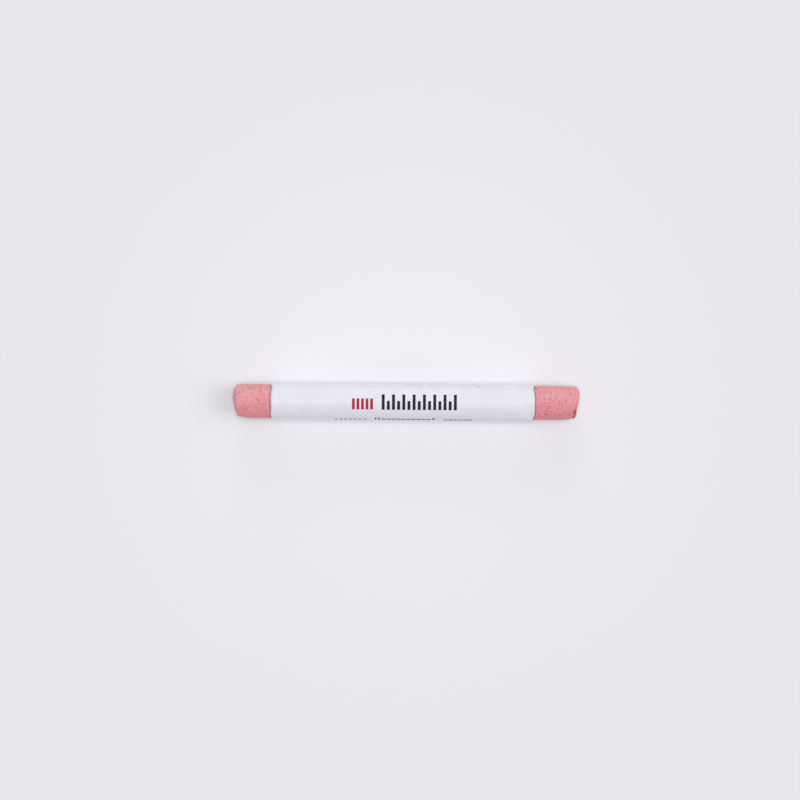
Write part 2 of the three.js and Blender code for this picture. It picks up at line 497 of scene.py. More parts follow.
def end_outline(end, across):
    """The outline on one ray, from the middle of the end face to where the sleeve covers it."""
    samples = 400
    outward = stick_radius * np.sin(np.linspace(0, math.pi / 2, samples))
    flat_radius = stick_radius - end["rim_inset"]
    beyond = np.clip((outward - flat_radius) / end["rim_inset"], 0, 1)
    rim = end["rim_depth"] * (1 - np.sqrt(1 - beyond ** 2))
    slant = (end["slant_offset"] - outward * across) * math.tan(end["slant"])
    inward = np.maximum(rim, slant)
    kept = outward <= side_limit(end, across, inward)
    side_inward = np.linspace(inward[kept][-1], bare_reach, samples)
    side_outward = side_limit(end, across, side_inward)
    return np.append(inward[kept], side_inward), np.append(outward[kept], side_outward)


front_inward, front_outward = end_outline(left_end, -1)
print(f"at the front, the left end is worn for {front_inward[front_outward.argmax()] / MM:.1f} mm")

# %% Even, softened outlines
FINE_STEP = 0.2 * MM
ROUND_STEPS = 180
SOFTEN_PASSES = 4


def even_steps(inward, outward, count):
    """The same outline with its points at equal distances."""
    run = np.append(0, np.cumsum(np.hypot(np.diff(inward), np.diff(outward))))
    places = np.linspace(0, run[-1], count)
    return np.interp(places, run, inward), np.interp(places, run, outward)


def soften(values):
    """Rounds the corners of an outline, and leaves its two ends in place."""
    for _ in range(SOFTEN_PASSES):
        values[1:-1] = (values[:-2] + 2 * values[1:-1] + values[2:]) / 4
    return values


def end_grid(end):
    """The end as two grids, of distances in and out, with a row for each ray."""
    count = round((stick_radius + bare_reach) / FINE_STEP)
    rows = []
    for ray in range(ROUND_STEPS):
        across = math.cos(2 * math.pi * ray / ROUND_STEPS)
        rows.append([soften(values) for values in even_steps(*end_outline(end, across), count)])
    return np.array(rows).transpose(1, 0, 2)


left_in, left_out = end_grid(left_end)
right_in, right_out = end_grid(right_end)
print("each end has", left_in.shape[1], "rings of", ROUND_STEPS, "points")

# %% [markdown]
# A crack runs across the front of the right end, where the rim is about to break away, and a
# shallow chip is already missing from the face beside it. Both could be painted on, but a real
# dip catches the light as the rest does. So the vertices near the crack are pressed in towards
# the axis, and those of the chip are pushed back along it.

# %% The crack and the chip in the right end
crack_start = np.array([48.95, -0.6]) * MM
crack_end = np.array([48.0, -4.8]) * MM
crack_width = 0.22 * MM
crack_depth = 0.3 * MM
crack_bend = 0.12 * MM
chip_middle = -1.6 * MM
chip_reach = 1.1 * MM
chip_depth = 0.2 * MM
# The chip grows to its depth between these places along the stick
chip_from = (46 * MM, 48.5 * MM)
# Only the upper half has the crack and the chip: they fade out between these heights, which
# count from the axis
upper_half = (-1 * MM, 1 * MM)


def crack_at(x, y):
    """From 0 to 1 at the crack, seen from above. It widens from its start to its end."""
    along = crack_end - crack_start
    offset = np.stack([x, y], -1) - crack_start
    share = np.clip(offset @ along / (along @ along), 0, 1)
    # It wavers a little from side to side
    bend = crack_bend * np.sin(share * 9)
    away = np.linalg.norm(offset - share[..., None] * along, axis=-1) + bend
    return np.exp(-(away / (crack_width * (0.55 + 0.6 * share))) ** 2) * np.minimum(1, 0.7 + share)


def smooth_step(value, low, high):
    """0 below low, 1 above high, and an even S between. High may be the smaller one."""
    share = np.clip((value - low) / (high - low), 0, 1)
    return share * share * (3 - 2 * share)


def chip_at(x, y, above):
    """How far the chip sets the right end back. It is in the upper part of the face."""
    depth = chip_depth * np.exp(-((y - chip_middle) / chip_reach) ** 2)
    return depth * smooth_step(x, *chip_from) * smooth_step(above, *upper_half)


print(f"the crack is {np.linalg.norm(crack_end - crack_start) / MM:.1f} mm long")

# %% [markdown]
# The paper's two edges matter to the chalk too, because a thin dark line along them is painted on
# it: grime, and the painted shadow of the paper's edge.
# The knife that cut the label to length wandered a little, so each edge is a short table of
# distances by angle. The paper is made from the same tables later.

# %% The paper's cut edges
# How much the knife took off each end of the paper, in millimetres, by the angle round it.
# Angles count upwards from the front, so 90 degrees is the top. The paper's free edge is below
# the front.
FREE_EDGE = -55.0
LEFT_CUT = {-55: 0.22, 30: 0.22, 42: 0.09, 58: 0.31, 70: 0.34, 96: 0.25, 118: 0.26, 134: 0.49,
            147: 0.41, 165: 0.17}
RIGHT_CUT = {-55: 0.62, 30: 0.62, 50: 0.25, 75: 0.21, 90: 0.24, 101: 0.12, 110: 0.28, 131: 0.36,
             140: 0.52, 146: 0.50, 155: 0.27, 180: 0.20, 300: 0.28, 360: 0.50}


def taken_off(cut, angle):
    """How far one end of the paper is cut back at an angle."""
    return np.interp(angle, list(cut), list(cut.values())) * MM


def beyond_paper(x, angle):
    """How far a place is outside the nearer end of the sleeve. It is negative inside."""
    left_edge = sleeve_low.x + taken_off(LEFT_CUT, angle)
    right_edge = sleeve_high.x - taken_off(RIGHT_CUT, angle)
    return np.maximum(x - right_edge, left_edge - x)


def keep_numbers(mesh, numbers):
    """Stores named numbers on the vertices of a mesh."""
    for name, values in numbers.items():
        mesh.attributes.new(name, "FLOAT", "POINT").data.foreach_set("value", values.ravel())


print(f"on top, the paper starts {beyond_paper(-stick_half, 90) / MM:.2f} mm from the left tip")

# %% [markdown]
# The two ends are joined by a coarser middle, because the sleeve always covers it. Each vertex
# also keeps three numbers for the steps that follow: how worn the surface is there, whether it
# lies in the crack, and how far it lies beyond the paper's edge.

# %% Rings of points, and the faces between them
COARSE_STEP = 1.0 * MM


def stick_grid():
    """Places along the stick and distances from its axis, as grids of rays by rings."""
    inner = stick_half - bare_reach
    middle_count = round(2 * inner / COARSE_STEP)
    middle = np.tile(np.linspace(-inner, inner, middle_count + 1)[1:-1], (ROUND_STEPS, 1))
    x = np.hstack([left_in - stick_half, middle, (stick_half - right_in)[:, ::-1]])
    out = np.hstack([left_out, np.full_like(middle, stick_radius), right_out[:, ::-1]])
    return x, out


def lathe_faces(rays, rings):
    """The faces of a closed surface of rings between two poles, which are the last vertices."""
    near_pole = rays * rings
    far_pole = near_pole + 1
    faces = []
    for ray in range(rays):
        this = ray * rings
        following = (ray + 1) % rays * rings
        faces.append((near_pole, following, this))
        faces.append((far_pole, this + rings - 1, following + rings - 1))
        for ring in range(rings - 1):
            faces.append((this + ring, following + ring, following + ring + 1, this + ring + 1))
    return faces


print("along the stick there are", stick_grid()[0].shape[1], "rings")

# %% Join the ends into one mesh
# The ends are fully worn this far in from their tips, and the wear then fades over this length
FULL_WEAR = 0.7 * MM
WEAR_FADE = 2.5 * MM


def make_stick_mesh():
    x, out = stick_grid()
    turn = (2 * math.pi * np.arange(ROUND_STEPS) / ROUND_STEPS)[:, None]
    y = out * np.cos(turn)
    above = out * np.sin(turn)
    crack = crack_at(x, y) * smooth_step(above, *upper_half)
    shrink = 1 - crack_depth * crack / np.maximum(out, FINE_STEP)
    x = x - chip_at(x, y, above)
    points = np.stack([x, y * shrink, above * shrink + stick_axis_height], -1)
    poles = points[:, [0, -1]].mean(0)
    points = points[:, 1:-1]
    mesh = bpy.data.meshes.new("smooth_stick")
    vertices = np.vstack([points.reshape(-1, 3), poles])
    mesh.from_pydata(vertices.tolist(), [], lathe_faces(ROUND_STEPS, points.shape[1]))
    inward = stick_half - np.abs(vertices[:, 0])
    angle = 180 - np.degrees(turn)
    beyond = beyond_paper(x, np.where(angle < FREE_EDGE, angle + 360, angle))
    keep_numbers(mesh, {
        "worn": 1 - np.clip((inward - FULL_WEAR) / WEAR_FADE, 0, 1),
        "crack": np.append(crack[:, 1:-1], [0, 0]),
        "beyond_paper": np.append(beyond[:, 1:-1], [1, 1]),
    })
    return mesh


stick_mesh = make_stick_mesh()
print("smooth stick:", len(stick_mesh.vertices), "vertices")

# %% [markdown]
# ## Grit, pits and grains
#
# The surface of pressed chalk is never smooth: it has a slow unevenness from the press, fine grit,
# and grains that sit in small pits. The largest grains near both ends are listed one by one,
# because they give this stick its face, and the rest are scattered by Geometry Nodes with a fixed
# seed. One tree sinks the surface round each grain and puts a small flattened stone there, so that
# pits and stones fall in the same places.

# %% List the largest grains
# Place along the stick, place towards the back and diameter, in millimetres
LISTED_GRAINS = [
    (-44.6, 3.6, 0.34), (-46.8, 3.3, 0.30), (-48.1, 2.5, 0.34), (-47.5, 1.2, 0.30),
    (-41.9, 2.8, 0.42), (-42.7, 0.6, 0.36), (-46.9, 0.0, 0.26), (-44.5, 2.6, 0.24),
    (-46.4, -2.1, 0.36), (-47.7, -2.8, 0.32), (-40.1, -3.0, 0.40), (-41.1, -1.8, 0.30),
    (-41.9, -0.7, 0.30), (-43.3, -1.5, 0.26), (-45.4, -3.4, 0.28), (-45.8, -2.6, 0.26),
    (-44.0, -4.3, 0.34), (-45.7, 4.2, 0.30), (-48.7, 1.9, 0.28), (-42.7, -1.7, 0.22),
    (-47.9, -0.7, 0.20), (-44.7, -0.5, 0.22), (-40.2, -0.8, 0.24), (-41.5, -4.0, 0.26),
    (37.6, 3.9, 0.50), (39.8, 3.0, 0.28), (39.4, 2.6, 0.22), (41.5, 2.9, 0.26),
    (43.0, 3.9, 0.24), (45.9, 3.9, 0.20), (45.7, 4.8, 0.24), (47.0, 2.6, 0.36),
    (42.9, 1.7, 0.26), (41.2, 1.3, 0.22), (42.1, 0.5, 0.24), (37.3, 1.2, 0.30),
    (39.8, -0.1, 0.38), (38.4, 0.0, 0.20), (38.8, -0.8, 0.28), (45.7, 0.3, 0.32),
    (44.6, 0.1, 0.20), (42.7, -0.6, 0.20), (43.8, -0.7, 0.28), (40.3, -1.2, 0.30),
    (40.5, -1.7, 0.32), (43.3, -1.6, 0.26), (46.0, -2.3, 0.22), (45.2, -2.6, 0.34),
    (46.5, -2.0, 0.20), (44.6, -1.5, 0.22), (43.1, -3.5, 0.30), (44.0, -3.5, 0.34),
    (44.7, -3.3, 0.32), (45.9, -3.4, 0.28), (46.9, -3.2, 0.46), (47.4, -3.8, 0.30),
    (38.1, -3.6, 0.42), (40.2, -3.4, 0.60), (39.9, -3.2, 0.34), (41.6, -2.7, 0.22),
    (49.1, 0.3, 0.36), (48.2, -2.8, 0.26),
]


def grain_places():
    """A mesh of single points on the top of the stick, each with the size of its grain."""
    grains = np.array(LISTED_GRAINS) * MM
    above = np.sqrt(stick_radius ** 2 - grains[:, 1] ** 2) + stick_axis_height
    mesh = bpy.data.meshes.new("listed_grains")
    mesh.from_pydata(np.column_stack([grains[:, :2], above]).tolist(), [], [])
    keep_numbers(mesh, {"grain_size": grains[:, 2]})
    return mesh


listed_grains = add_object("listed_grains", grain_places())
print(len(LISTED_GRAINS), "grains are listed by hand")

# %% [markdown]
# The tree gets named inputs for all its sizes, so that another stick needs only other numbers.
# It scatters the small grains over the chalk that can ever be bare, and leaves out the middle,
# which would take twenty thousand faces that nobody sees.

# %% The named inputs of the tree
GRAIN_INPUTS = {
    "Listed Grains": "NodeSocketObject",
    "Bare From": "NodeSocketFloat",
    "Grains Per Area": "NodeSocketFloat",
    "Least Grain": "NodeSocketFloat",
    "Largest Grain": "NodeSocketFloat",
    "Flatness": "NodeSocketFloat",
    "Pit Depth": "NodeSocketFloat",
    "Grit Height": "NodeSocketFloat",
    "Unevenness": "NodeSocketFloat",
    "Seed": "NodeSocketInt",
    "Chalk": "NodeSocketMaterial",
    "Grain": "NodeSocketMaterial",
    "Make Grains": "NodeSocketBool",
}
print("the tree has", len(GRAIN_INPUTS), "named inputs")

# %% Scatter the other grains
NUMBER = {"data_type": "FLOAT"}
# A higher power makes more of the grains small
SIZE_POWER = 3.0


def grain_points(tree, inputs):
    """Scatters points over the bare chalk, sizes them, and adds the listed ones."""
    place = add_node(tree, "GeometryNodeInputPosition")
    along = add_node(tree, "ShaderNodeSeparateXYZ", place, output="X")
    from_middle = calculate(tree, "ABSOLUTE", along)
    bare = calculate(tree, "GREATER_THAN", from_middle, inputs["Bare From"])
    scattered = add_node(tree, "GeometryNodeDistributePointsOnFaces", inputs["Geometry"], bare,
                         Density=inputs["Grains Per Area"], Seed=inputs["Seed"])
    # Most grains are small: a random number from 0 to 1 is raised to a power
    luck = add_node(tree, "FunctionNodeRandomValue", Seed=inputs["Seed"], **NUMBER)
    rare = calculate(tree, "POWER", luck, SIZE_POWER)
    size = add_node(tree, "ShaderNodeMapRange", rare,
                    To_Min=inputs["Least Grain"], To_Max=inputs["Largest Grain"])
    sized = add_node(tree, "GeometryNodeStoreNamedAttribute", scattered,
                     Name="grain_size", Value=size, **NUMBER)
    listed = add_node(tree, "GeometryNodeObjectInfo", inputs["Listed Grains"], output="Geometry")
    listed = add_node(tree, "GeometryNodeMeshToPoints", listed)
    both = add_node(tree, "GeometryNodeJoinGeometry", sized)
    tree.links.new(listed, both.node.inputs[0])
    return both


print("a scattered grain's size is a number on its point, as a listed one's is")

# %% [markdown]
# A grain at the surface has been pressed and rubbed flat, level with the clay round it. So
# each stone is a ball of 20 faces, pressed flat, turned to face outwards and stretched by
# chance. A noise then makes the stones lumpy. More faces wouldn't show at a third of a
# millimetre.

# %% Turn points into stones
STRETCH = (0.75, 1.25)
LUMP_MM = 0.35
LUMP_HEIGHT = 0.12 * MM


def stones(tree, inputs, points, surface):
    """A small flattened stone at each point, lying in the sunk surface."""
    below = add_node(tree, "GeometryNodeProximity", surface, target_element="FACES")
    points = add_node(tree, "GeometryNodeSetPosition", points, Position=below)
    facing = add_node(tree, "GeometryNodeSampleNearestSurface", inputs["Geometry"],
                      add_node(tree, "GeometryNodeInputNormal"), data_type="FLOAT_VECTOR",
                      Sample_Position=add_node(tree, "GeometryNodeInputPosition"))
    turned = add_node(tree, "FunctionNodeAlignRotationToVector", axis="Z", Vector=facing)
    size = add_node(tree, "GeometryNodeInputNamedAttribute", "grain_size", **NUMBER)
    long = add_node(tree, "FunctionNodeRandomValue", *STRETCH, Seed=inputs["Seed"], **NUMBER)
    wide = calculate(tree, "DIVIDE", 1.0, long)
    shape = add_node(tree, "ShaderNodeCombineXYZ", long, wide, inputs["Flatness"])
    shape = add_node(tree, "ShaderNodeVectorMath", shape, operation="SCALE", Scale=size)
    ball = add_node(tree, "GeometryNodeMeshIcoSphere", Radius=0.5, Subdivisions=1)
    placed = add_node(tree, "GeometryNodeInstanceOnPoints", points,
                      Instance=ball, Rotation=turned, Scale=shape)
    real = add_node(tree, "GeometryNodeRealizeInstances", placed)
    lumps = add_node(tree, "ShaderNodeTexNoise", Scale=per_mm(LUMP_MM), output="Color")
    lumps = add_node(tree, "ShaderNodeVectorMath", lumps, (0.5, 0.5, 0.5), operation="SUBTRACT")
    lumps = add_node(tree, "ShaderNodeVectorMath", lumps, operation="SCALE", Scale=LUMP_HEIGHT)
    lumpy = add_node(tree, "GeometryNodeSetPosition", real, Offset=lumps)
    return add_node(tree, "GeometryNodeSetMaterial", lumpy, Material=inputs["Grain"])


print("a stone has 20 faces")

# %% [markdown]
# Grit could be raised above the surface or sunk into it. Here all of it goes inwards, because
# the paper lies close round the smooth outline, and a bump that stands out would poke through
# it when the sleeve slides.

# %% Sink the surface
# Broken and rubbed chalk is three times as rough as the pressed side
WORN_ROUGHNESS = 3.0
COARSE_GRIT_MM = 0.75
UNEVEN_MM = 6.0
# Where a pit and a stain are full and where they end, from a grain's middle in grain widths
PIT_REACH = (0.35, 0.95)
STAIN_REACH = (0.4, 1.5)


def pitted(tree, inputs, points):
    """The surface with grit, and a pit and a wider stain round each grain."""
    place = add_node(tree, "GeometryNodeInputPosition")
    away = add_node(tree, "GeometryNodeProximity", points, target_element="POINTS",
                    output="Distance")
    nearest = add_node(tree, "GeometryNodeSampleNearest", points, domain="POINT")
    size = add_node(tree, "GeometryNodeInputNamedAttribute", "grain_size", **NUMBER)
    size = add_node(tree, "GeometryNodeSampleIndex", points, size, nearest, **NUMBER)
    reach = calculate(tree, "DIVIDE", away, size)
    pit = soft_step(tree, reach, *PIT_REACH, 1.0, 0.0)
    stain = soft_step(tree, reach, *STAIN_REACH, 1.0, 0.0)
    grit = add_node(tree, "ShaderNodeTexNoise", place,
                    Scale=per_mm(COARSE_GRIT_MM), Detail=3.0, Roughness=0.6)
    slow = add_node(tree, "ShaderNodeTexNoise", place, Scale=per_mm(UNEVEN_MM), Detail=1.0)
    worn = add_node(tree, "GeometryNodeInputNamedAttribute", "worn", **NUMBER)
    rougher = add_node(tree, "ShaderNodeMapRange", worn, To_Min=1.0, To_Max=WORN_ROUGHNESS)
    grit = calculate(tree, "MULTIPLY", grit, rougher)
    depth = 0.0
    for share, most in ((grit, "Grit Height"), (slow, "Unevenness"), (pit, "Pit Depth")):
        depth = calculate(tree, "MULTIPLY_ADD", share, inputs[most], depth)
    inwards = calculate(tree, "MULTIPLY", depth, -1.0)
    out = add_node(tree, "GeometryNodeInputNormal")
    inwards = add_node(tree, "ShaderNodeVectorMath", out, operation="SCALE", Scale=inwards)
    stained = add_node(tree, "GeometryNodeStoreNamedAttribute", inputs["Geometry"],
                       Name="grain_stain", Value=stain, **NUMBER)
    sunk = add_node(tree, "GeometryNodeSetPosition", stained, Offset=inwards)
    smooth = add_node(tree, "GeometryNodeSetShadeSmooth", sunk)
    return add_node(tree, "GeometryNodeSetMaterial", smooth, Material=inputs["Chalk"])


print(f"worn chalk is {WORN_ROUGHNESS:.0f} times as rough as the side")

# %% [markdown]
# The chalk and its stones are two pieces, since they have different materials and one of them
# is a thousand small parts. A switch at the end of the tree chooses which of the two it
# gives, and the tree then runs twice on the same smooth stick.


# %% Put the tree for the chalk together
def chalk_tree():
    tree, inputs, ids = new_tree("chalk grit and grains", GRAIN_INPUTS)
    points = grain_points(tree, inputs)
    surface = pitted(tree, inputs, points)
    chosen = add_node(tree, "GeometryNodeSwitch", inputs["Make Grains"], surface,
                      stones(tree, inputs, points, surface), input_type="GEOMETRY")
    add_node(tree, "NodeGroupOutput", chosen)
    return tree, ids


surface_tree, surface_ids = chalk_tree()
print("chalk tree:", len(surface_tree.nodes), "nodes")

# %% Grow the chalk and its grains
GRAINS_PER_SQUARE_MM = 0.7
chalk_sizes = {
    "Listed Grains": listed_grains,
    "Bare From": stick_half - bare_reach,
    "Grains Per Area": GRAINS_PER_SQUARE_MM / MM ** 2,
    "Least Grain": 0.1 * MM,
    "Largest Grain": 0.36 * MM,
    "Flatness": 0.16,
    "Pit Depth": 0.04 * MM,
    "Grit Height": 0.035 * MM,
    "Unevenness": 0.05 * MM,
    "Seed": 7,
    "Chalk": chalk,
    "Grain": grain,
}
chalk_stick = grow("pressed_chalk_stick", stick_mesh, surface_tree, surface_ids,
                   {**chalk_sizes, "Make Grains": False})
chalk_grains = grow("grog_grains", stick_mesh, surface_tree, surface_ids,
                    {**chalk_sizes, "Make Grains": True})
bpy.data.objects.remove(listed_grains)
print("chalk", triangles(chalk_stick), "triangles, grains", triangles(chalk_grains))

# %% [markdown]
# ## The rolled paper sleeve
#
# The sleeve is one strip of label paper, 0.1 mm thick, rolled once round the stick. Its end
# climbs on to the first layer and is glued down there, with the free edge below the front
# where it can't be seen from above. A tube with a bump would give the outline but not the two
# cut edges, so the strip is laid out as the real one runs: by angle, from its inner edge
# down, round the back and over the top to its free edge. Angles count upwards from the front,
# so 90 degrees is the top and -90 the bottom.

# %% The sizes of the roll
PAPER = 0.1 * MM
GLUE_LAYER = 0.04 * MM
# The play of the paper round the stick at each end, and the gap behind the stick
LEFT_PLAY = 0.07 * MM
RIGHT_PLAY = 0.15 * MM
BACK_GAP = 0.06 * MM
# The strip that is pressed flat on the table
REST_WIDTH = 1.0 * MM
# The width of the lap, and the stretch in which the paper climbs on to its first layer
LAP = 5.5 * MM
CLIMB = 3.7 * MM
CLIMB_LEAD = 0.5 * MM
layer_step = PAPER + GLUE_LAYER


def roll_at(x):
    """The roll at places along the stick: its inner radius, its centre and its bends."""
    play = LEFT_PLAY + (RIGHT_PLAY - LEFT_PLAY) * (x - sleeve_low.x) / sleeve_length
    inner = stick_radius + play
    rest_angle = np.degrees(np.arcsin(REST_WIDTH / 2 / (inner + PAPER)))
    over = inner + layer_step + PAPER / 2
    spare = 2 * math.pi * ((LEFT_PLAY + RIGHT_PLAY) / 2 - play)
    inner_edge = FREE_EDGE + np.degrees((LAP + spare) / over)
    climb_end = inner_edge + np.degrees(CLIMB_LEAD / over)
    climb_start = climb_end + np.degrees(CLIMB / over)
    centre_z = (inner + PAPER) * np.cos(np.radians(rest_angle))
    return {
        "inner": inner,
        "centre_y": BACK_GAP - play,
        "centre_z": centre_z,
        "climb": (climb_end, climb_start),
        "bends": (inner_edge, -90 + rest_angle, -90 - rest_angle,
                  climb_start - 360, climb_end - 360, np.full_like(x, FREE_EDGE - 360)),
    }


print(f"layers are {layer_step / MM:.2f} mm apart")

# %% [markdown]
# Real paper is never a perfect roll. The strip was cut a little out of square at its right
# end, where its front corner also springs away from the stick, and its free edge lifts here
# and there between the glue and the cut. The rest of it has faint dents from fingers. These
# are small heights added to the roll, and the printed marks use the same function later, so
# that they follow every dent.

# %% How the paper departs from a perfect roll
EDGE_LIFT = 0.07 * MM
EDGE_LIFT_REACH = 1.0 * MM
CORNER_SPRING = 0.24 * MM
CORNER_REACH = 10 * MM
DENT = 0.03 * MM
# The waves of the lifting edge and of the dents, along the sleeve
LONG_WAVE = 5.2 * MM
SHORT_WAVE = 1.9 * MM
DENT_WAVE = 4.1 * MM


def paper_height(x, angle):
    """How far the paper's inner face is from the perfect roll, at a place and an angle."""
    roll = roll_at(x)
    up = angle + 360
    height = layer_step * (1 - smooth_step(up, *roll["climb"]))
    to_edge = np.radians(up - FREE_EDGE) * roll["inner"]
    # The edge lifts by a share that goes up and down between 0.1 and 1
    waver = 0.55 + 0.45 * np.sin(x / LONG_WAVE + 0.8) * np.sin(x / SHORT_WAVE)
    height = height + EDGE_LIFT * waver * smooth_step(to_edge, EDGE_LIFT_REACH, 0)
    # The corner springs out at the front, and the dents keep clear of the front and the lap
    near_right = smooth_step(x, sleeve_high.x - CORNER_REACH, sleeve_high.x)
    height = height + CORNER_SPRING * near_right ** 2 * smooth_step(up, 40, -5)
    dents = np.sin(x / DENT_WAVE + 2 * np.sin(np.radians(up))) * np.sin(np.radians(2 * up) + 0.6)
    return height + DENT * (0.5 + 0.5 * dents) * smooth_step(up, 45, 80) * smooth_step(up, 250, 200)


def paper_place(x, angle, above):
    """The point this far above the inner face of the paper."""
    roll = roll_at(x)
    radius = roll["inner"] + paper_height(x, angle) + above
    y = roll["centre_y"] - radius * np.cos(np.radians(angle))
    z = roll["centre_z"] + radius * np.sin(np.radians(angle))
    # The stick's weight presses the paper flat on the table, where it stays one paper thick
    return np.stack([x, y, np.maximum(z, PAPER - above)], -1)


print(f"the front corner springs out {CORNER_SPRING / MM:.2f} mm")

# %% [markdown]
# The strip is laid out as a grid, with columns along the sleeve and rows that follow the bends.
# Each section runs out along the outer face and back along the inner one, so that the paper is
# a closed sheet with a real thickness. Its two ends are then cut by the tables from before.

# %% Lay out the strip
STRIP_STEP = 0.7 * MM
ANGLE_STEP = 2.5


def strip_grid():
    """A grid of places along the sleeve by angles, which follow the paper's bends."""
    columns = round(sleeve_length / STRIP_STEP) + 1
    x = np.linspace(sleeve_low.x, sleeve_high.x, columns)
    bends = np.array(roll_at(x)["bends"])
    middle = bends[:, columns // 2]
    parts = [bends[0][:, None]]
    for i in range(len(bends) - 1):
        count = math.ceil((middle[i] - middle[i + 1]) / ANGLE_STEP)
        shares = np.arange(1, count + 1) / count
        parts.append(bends[i][:, None] * (1 - shares) + bends[i + 1][:, None] * shares)
    angles = np.hstack(parts)
    return np.broadcast_to(x[:, None], angles.shape), angles


print("the strip is laid out in", strip_grid()[0].shape, "places")

# %% Cut its ends and close it
CUT_REACH = 3 * MM


def cut_ends(points, angles):
    """Shortens the strip to its two cuts. The places near them close up a little."""
    x = points[..., 0]
    near_right = smooth_step(x, sleeve_high.x - CUT_REACH, sleeve_high.x)
    near_left = smooth_step(x, sleeve_low.x + CUT_REACH, sleeve_low.x)
    up = angles + 360
    points[..., 0] = x - taken_off(RIGHT_CUT, up) * near_right + taken_off(LEFT_CUT, up) * near_left
    return points


def sheet_faces(columns, rows):
    """The faces of a closed sheet whose sections run out on one face and back on the other."""
    ring = 2 * rows
    faces = []
    for column in range(columns - 1):
        for i in range(ring):
            a = column * ring + i
            b = column * ring + (i + 1) % ring
            faces.append((a, b, b + ring, a + ring))
    last = (columns - 1) * ring
    for i in range(rows - 1):
        across = ring - 1 - i
        faces.append((i, across, across - 1, i + 1))
        faces.append((last + i, last + i + 1, last + across - 1, last + across))
    return faces


print("a sheet of 2 by 2 places has", len(sheet_faces(2, 2)), "faces")


# %% Roll the sleeve
def make_sleeve():
    x, angles = strip_grid()
    outer = cut_ends(paper_place(x, angles, PAPER), angles)
    inner = cut_ends(paper_place(x, angles, 0), angles)
    sections = np.concatenate([outer, inner[:, ::-1]], axis=1)
    mesh = bpy.data.meshes.new("rolled_paper")
    mesh.from_pydata(sections.reshape(-1, 3).tolist(), [], sheet_faces(*x.shape))
    both_faces = np.concatenate([angles, angles[:, ::-1]], axis=1) + 360
    keep_numbers(mesh, {"beyond_paper": beyond_paper(sections[..., 0], both_faces)})
    mesh.materials.append(paper)
    mesh.shade_smooth()
    return add_object("rolled_paper_sleeve", mesh)


paper_sleeve = make_sleeve()
print("sleeve", triangles(paper_sleeve), "triangles")

# %% [markdown]
# ## The glue in the lap
#
# A thin film of paper glue holds the lap shut. It fills the space between the two layers, so
# both of its faces are taken from the paper's own function: the under face from the top of
# the first layer, and the upper face from the bottom of the second. It stops a millimetre
# short of the free edge and of the left end, and well short of the right end, where the loose
# corner springs away.

# %% Lay the glue between the layers
GLUE_MARGIN = 1.0 * MM
GLUE_COLUMNS = 100
GLUE_ROWS = 20


def make_glue():
    right_stop = sleeve_high.x - CORNER_REACH / 2
    x = np.linspace(sleeve_low.x + GLUE_MARGIN, right_stop, GLUE_COLUMNS)[:, None]
    roll = roll_at(x)
    shares = np.linspace(0, 1, GLUE_ROWS)
    stop = FREE_EDGE + np.degrees(GLUE_MARGIN / roll["inner"])
    angles = roll["bends"][0] * (1 - shares) + stop * shares
    x = np.broadcast_to(x, angles.shape)
    under = paper_place(x, angles, PAPER)
    over = paper_place(x, angles - 360, 0)
    sections = np.concatenate([over, under[:, ::-1]], axis=1)
    mesh = bpy.data.meshes.new("lap_glue")
    mesh.from_pydata(sections.reshape(-1, 3).tolist(), [], sheet_faces(*x.shape))
    mesh.materials.append(glue)
    mesh.shade_smooth()
    return add_object("lap_glue", mesh)


lap_glue = make_glue()
print("glue", triangles(lap_glue), "triangles")

# %% [markdown]
# ## Printed marks
#
# A sleeve like this is printed before it is rolled. It carries plain marks: a red hatched
# patch for the colour of the chalk, a black scale to see how much of the stick is used up, a
# row of grey dashes along the front, and small register marks at the back. All of them are
# rows of bars, so one tree of Geometry Nodes makes them, with the size of the bars as inputs.

# %% The tree for a row of marks
MARK_INPUTS = {
    "Start": "NodeSocketVector",
    "Count": "NodeSocketInt",
    "Pitch": "NodeSocketFloat",
    "Bar Width": "NodeSocketFloat",
    "Long Bar": "NodeSocketFloat",
    "Short Bar": "NodeSocketFloat",
    "Long Every": "NodeSocketInt",
    "Film": "NodeSocketFloat",
    "Ink": "NodeSocketMaterial",
}


def marks_tree():
    tree, inputs, ids = new_tree("row of printed bars", MARK_INPUTS)
    pitch = add_node(tree, "ShaderNodeCombineXYZ", inputs["Pitch"])
    line = add_node(tree, "GeometryNodeMeshLine", inputs["Count"], inputs["Start"], pitch)
    order = add_node(tree, "GeometryNodeInputIndex")
    left_over = calculate(tree, "MODULO", order, inputs["Long Every"])
    is_long = calculate(tree, "LESS_THAN", left_over, 0.5)
    length = add_node(tree, "GeometryNodeSwitch", is_long, inputs["Short Bar"], inputs["Long Bar"],
                      input_type="FLOAT")
    # Short bars stand on the same line as long ones
    missing = calculate(tree, "SUBTRACT", length, inputs["Long Bar"])
    drop = calculate(tree, "MULTIPLY", missing, 0.5)
    drop = add_node(tree, "ShaderNodeCombineXYZ", Y=drop)
    standing = add_node(tree, "GeometryNodeSetPosition", line, Offset=drop)
    size = add_node(tree, "ShaderNodeCombineXYZ", inputs["Bar Width"], inputs["Long Bar"],
                    inputs["Film"])
    bar = add_node(tree, "GeometryNodeMeshCube", size, Vertices_X=3, Vertices_Y=15, Vertices_Z=2)
    share = calculate(tree, "DIVIDE", length, inputs["Long Bar"])
    share = add_node(tree, "ShaderNodeCombineXYZ", 1.0, share, 1.0)
    placed = add_node(tree, "GeometryNodeInstanceOnPoints", standing, Instance=bar, Scale=share)
    real = add_node(tree, "GeometryNodeRealizeInstances", placed)
    inked = add_node(tree, "GeometryNodeSetMaterial", real, Material=inputs["Ink"])
    add_node(tree, "NodeGroupOutput", inked)
    return tree, ids


bar_tree, bar_ids = marks_tree()
print("tree for marks:", len(bar_tree.nodes), "nodes")

